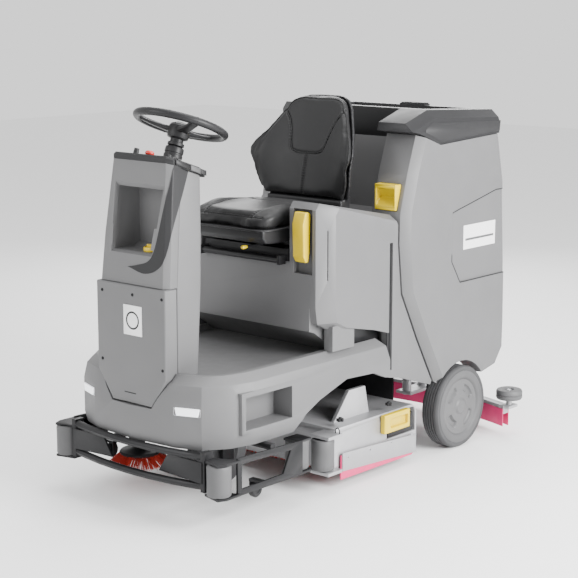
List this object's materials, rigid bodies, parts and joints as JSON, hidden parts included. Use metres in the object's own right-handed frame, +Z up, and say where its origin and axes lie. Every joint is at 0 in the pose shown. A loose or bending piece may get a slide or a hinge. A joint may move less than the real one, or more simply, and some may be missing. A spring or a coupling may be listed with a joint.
{
  "type": "ride-on floor scrubber",
  "caption": "Ride-on floor scrubber: steered drive wheel, sliding seat, tilting tank with lid, lifting scrub head, lifting front frame with side brush, swinging squeegee.",
  "frame": {"origin": "on the floor under the centre of the whole machine's bounding box", "axes": "+Z up, +Y towards the rear of the machine, +X towards the driver's left"},
  "size_m": [1.04, 1.838, 1.4429],
  "materials": {
    "grey_plastic": "fine-grained moulding",
    "black_plastic": "satin moulding",
    "yellow_plastic": "satin moulding",
    "red_plastic": "gloss moulding",
    "black_steel": "powder coat",
    "aluminium": "cast and blasted",
    "tyre_rubber": "grooved tread",
    "hub_grey": "moulded hub cap",
    "roller_grey": "moulded bumper roller",
    "black_vinyl": "smooth seat vinyl",
    "lamp_lens": "clear lamp cover",
    "pink_rubber": "squeegee rubber",
    "red_bristle": "brush bristles"
  },
  "bodies": {
    "chassis": {"chassis_frame": "black_steel", "base_shell": "grey_plastic", "headlight_left": "lamp_lens", "headlight_right": "lamp_lens", "service_panel": "grey_plastic", "console_front_shell": "grey_plastic", "console_rear_shell": "grey_plastic", "console_top_cover": "black_plastic", "column_collar": "black_plastic", "seat_box": "grey_plastic", "battery_pack": "black_plastic", "seat_carrier": "black_steel"},
    "steering": {"steering_wheel": "black_plastic"},
    "drive_fork": {"drive_unit": "black_steel"},
    "drive_wheel": {"drive_wheel": "tyre_rubber"},
    "rear_wheel_left": {"rear_tyre_left": "tyre_rubber", "rear_hub_left": "hub_grey"},
    "rear_wheel_right": {"rear_tyre_right": "tyre_rubber", "rear_hub_right": "hub_grey"},
    "pedal": {"accelerator_pedal": "black_plastic"},
    "key": {"key_switch": "black_plastic"},
    "stop": {"stop_button": "red_plastic"},
    "selector": {"selector_knob": "black_plastic"},
    "cap": {"filler_cap": "yellow_plastic"},
    "seat": {"seat_pan": "black_plastic", "seat_cushion": "black_vinyl", "backrest_pad": "black_vinyl", "backrest_shell": "black_plastic"},
    "seat_lever": {"seat_adjust_lever": "yellow_plastic"},
    "release": {"release_lever": "yellow_plastic"},
    "tank": {"recovery_tank": "grey_plastic", "tank_grip": "yellow_plastic", "suction_turbine": "black_plastic"},
    "lid": {"tank_lid": "black_plastic"},
    "head": {"scrub_head": "aluminium", "skirt_plate_left": "aluminium", "skirt_plate_right": "aluminium", "skirt_lip_left": "pink_rubber", "skirt_lip_right": "pink_rubber"},
    "head_roller_left": {"head_roller_left": "roller_grey"},
    "head_roller_right": {"head_roller_right": "roller_grey"},
    "brush_front": {"brush_front": "red_bristle"},
    "brush_rear": {"brush_rear": "red_bristle"},
    "tray": {"debris_tray": "black_plastic", "tray_handle": "yellow_plastic"},
    "front_frame": {"front_frame": "black_steel"},
    "roller_front_left": {"bumper_roller_front_left": "roller_grey"},
    "roller_front_right": {"bumper_roller_front_right": "roller_grey"},
    "roller_side_left": {"bumper_roller_side_left": "roller_grey"},
    "roller_side_right": {"bumper_roller_side_right": "roller_grey"},
    "castor_left": {"frame_castor_left": "black_plastic"},
    "castor_right": {"frame_castor_right": "black_plastic"},
    "side_brush": {"side_brush": "red_bristle"},
    "squeegee_arm": {"squeegee_arm": "black_steel"},
    "squeegee": {"squeegee_bar": "aluminium", "squeegee_lip_front": "pink_rubber", "squeegee_lip_rear": "pink_rubber", "suction_hose": "black_plastic"},
    "squeegee_roller_left": {"squeegee_roller_left": "roller_grey"},
    "squeegee_roller_right": {"squeegee_roller_right": "roller_grey"}
  },
  "joints": [
    {"name": "steering_turn", "type": "hinge", "parent": "chassis", "child": "steering", "pos_m": [0, -0.631, 1.372], "axis": [0, 0.3584, 0.9336], "range_deg": [-170, 170]},
    {"name": "fork_steer", "type": "hinge", "parent": "chassis", "child": "drive_fork", "pos_m": [0, -0.46, 0.386], "axis": [0, 0, 1], "range_deg": [-85, 85]},
    {"name": "drive_wheel_spin", "type": "hinge", "parent": "drive_fork", "child": "drive_wheel", "pos_m": [0, -0.46, 0.13], "axis": [1, 0, 0], "continuous": true},
    {"name": "rear_wheel_left_spin", "type": "hinge", "parent": "chassis", "child": "rear_wheel_left", "pos_m": [0.377, 0.552, 0.17], "axis": [1, 0, 0], "continuous": true},
    {"name": "rear_wheel_right_spin", "type": "hinge", "parent": "chassis", "child": "rear_wheel_right", "pos_m": [-0.377, 0.552, 0.17], "axis": [1, 0, 0], "continuous": true},
    {"name": "pedal_press", "type": "hinge", "parent": "chassis", "child": "pedal", "pos_m": [-0.105, -0.515, 0.5105], "axis": [1, 0, 0], "range_deg": [0, 14], "stiffness_Nm_per_rad": 3, "springref_deg": -17.19},
    {"name": "key_turn", "type": "hinge", "parent": "chassis", "child": "key", "pos_m": [-0.085, -0.775, 1.26633], "axis": [0, 0.3253, 0.9456], "range_deg": [0, 90]},
    {"name": "stop_press", "type": "slide", "parent": "chassis", "child": "stop", "axis": [0, -0.3253, -0.9456], "range_m": [0, 0.006], "stiffness_N_per_m": 800, "springref_m": -0.002},
    {"name": "selector_turn", "type": "hinge", "parent": "chassis", "child": "selector", "pos_m": [0.075, -0.775, 1.26633], "axis": [0, 0.3253, 0.9456], "range_deg": [-60, 60]},
    {"name": "cap_turn", "type": "hinge", "parent": "chassis", "child": "cap", "pos_m": [0.036, -0.812, 0.95], "axis": [0, 0, 1], "range_deg": [0, 90]},
    {"name": "seat_slide", "type": "slide", "parent": "chassis", "child": "seat", "axis": [0, 1, 0], "range_m": [-0.08, 0.05]},
    {"name": "seat_lever_push", "type": "hinge", "parent": "seat", "child": "seat_lever", "pos_m": [0.101, -0.303, 0.916], "axis": [0, 0, 1], "range_deg": [0, 15], "stiffness_Nm_per_rad": 0.6, "springref_deg": -5.73},
    {"name": "release_lever_pull", "type": "hinge", "parent": "chassis", "child": "release", "pos_m": [0.289, -0.3, 1.045], "axis": [-1, 0, 0], "range_deg": [0, 55]},
    {"name": "tank_tilt", "type": "hinge", "parent": "chassis", "child": "tank", "pos_m": [0, 0.8, 0.455], "axis": [-1, 0, 0], "range_deg": [0, 30]},
    {"name": "lid_open", "type": "hinge", "parent": "tank", "child": "lid", "pos_m": [0, 0.815, 1.27], "axis": [-1, 0, 0], "range_deg": [0, 75]},
    {"name": "head_lift", "type": "slide", "parent": "chassis", "child": "head", "axis": [0, 0, 1], "range_m": [-0.033, 0]},
    {"name": "head_roller_left_spin", "type": "hinge", "parent": "head", "child": "head_roller_left", "pos_m": [0.372, -0.2815, 0.151], "axis": [0, 0, 1], "continuous": true},
    {"name": "head_roller_right_spin", "type": "hinge", "parent": "head", "child": "head_roller_right", "pos_m": [-0.372, -0.2815, 0.151], "axis": [0, 0, 1], "continuous": true},
    {"name": "brush_front_spin", "type": "hinge", "parent": "head", "child": "brush_front", "pos_m": [0, -0.146, 0.1105], "axis": [1, 0, 0], "continuous": true},
    {"name": "brush_rear_spin", "type": "hinge", "parent": "head", "child": "brush_rear", "pos_m": [0, 0.006, 0.1105], "axis": [1, 0, 0], "continuous": true},
    {"name": "tray_slide", "type": "slide", "parent": "head", "child": "tray", "axis": [1, 0, 0], "range_m": [0, 0.3]},
    {"name": "front_frame_lift", "type": "slide", "parent": "chassis", "child": "front_frame", "axis": [0, 0, 1], "range_m": [-0.076, 0]},
    {"name": "roller_front_left_spin", "type": "hinge", "parent": "front_frame", "child": "roller_front_left", "pos_m": [0.388, -0.858, 0.19], "axis": [0, 0, 1], "continuous": true},
    {"name": "roller_front_right_spin", "type": "hinge", "parent": "front_frame", "child": "roller_front_right", "pos_m": [-0.388, -0.858, 0.19], "axis": [0, 0, 1], "continuous": true},
    {"name": "roller_side_left_spin", "type": "hinge", "parent": "front_frame", "child": "roller_side_left", "pos_m": [0.3705, -0.427, 0.19], "axis": [0, 0, 1], "continuous": true},
    {"name": "roller_side_right_spin", "type": "hinge", "parent": "front_frame", "child": "roller_side_right", "pos_m": [-0.3705, -0.427, 0.19], "axis": [0, 0, 1], "continuous": true},
    {"name": "castor_left_spin", "type": "hinge", "parent": "front_frame", "child": "castor_left", "pos_m": [0.372, -0.656, 0.107], "axis": [1, 0, 0], "continuous": true},
    {"name": "castor_right_spin", "type": "hinge", "parent": "front_frame", "child": "castor_right", "pos_m": [-0.372, -0.656, 0.107], "axis": [1, 0, 0], "continuous": true},
    {"name": "side_brush_spin", "type": "hinge", "parent": "front_frame", "child": "side_brush", "pos_m": [-0.215, -0.655, 0.12], "axis": [0, 0, 1], "continuous": true},
    {"name": "squeegee_lift", "type": "slide", "parent": "chassis", "child": "squeegee_arm", "axis": [0, 0, 1], "range_m": [-0.036, 0]},
    {"name": "squeegee_swing", "type": "hinge", "parent": "squeegee_arm", "child": "squeegee", "pos_m": [0, 0.74, 0.16], "axis": [0, 0, 1], "range_deg": [-6, 6]},
    {"name": "squeegee_roller_left_spin", "type": "hinge", "parent": "squeegee", "child": "squeegee_roller_left", "pos_m": [0.465, 0.833, 0.175], "axis": [0, 0, 1], "continuous": true},
    {"name": "squeegee_roller_right_spin", "type": "hinge", "parent": "squeegee", "child": "squeegee_roller_right", "pos_m": [-0.465, 0.833, 0.175], "axis": [0, 0, 1], "continuous": true}
  ],
  "couplings": [
    {"joint": "fork_steer", "follows": "steering_turn", "ratio": 0.5},
    {"joint": "brush_rear_spin", "follows": "brush_front_spin", "ratio": -1}
  ]
}
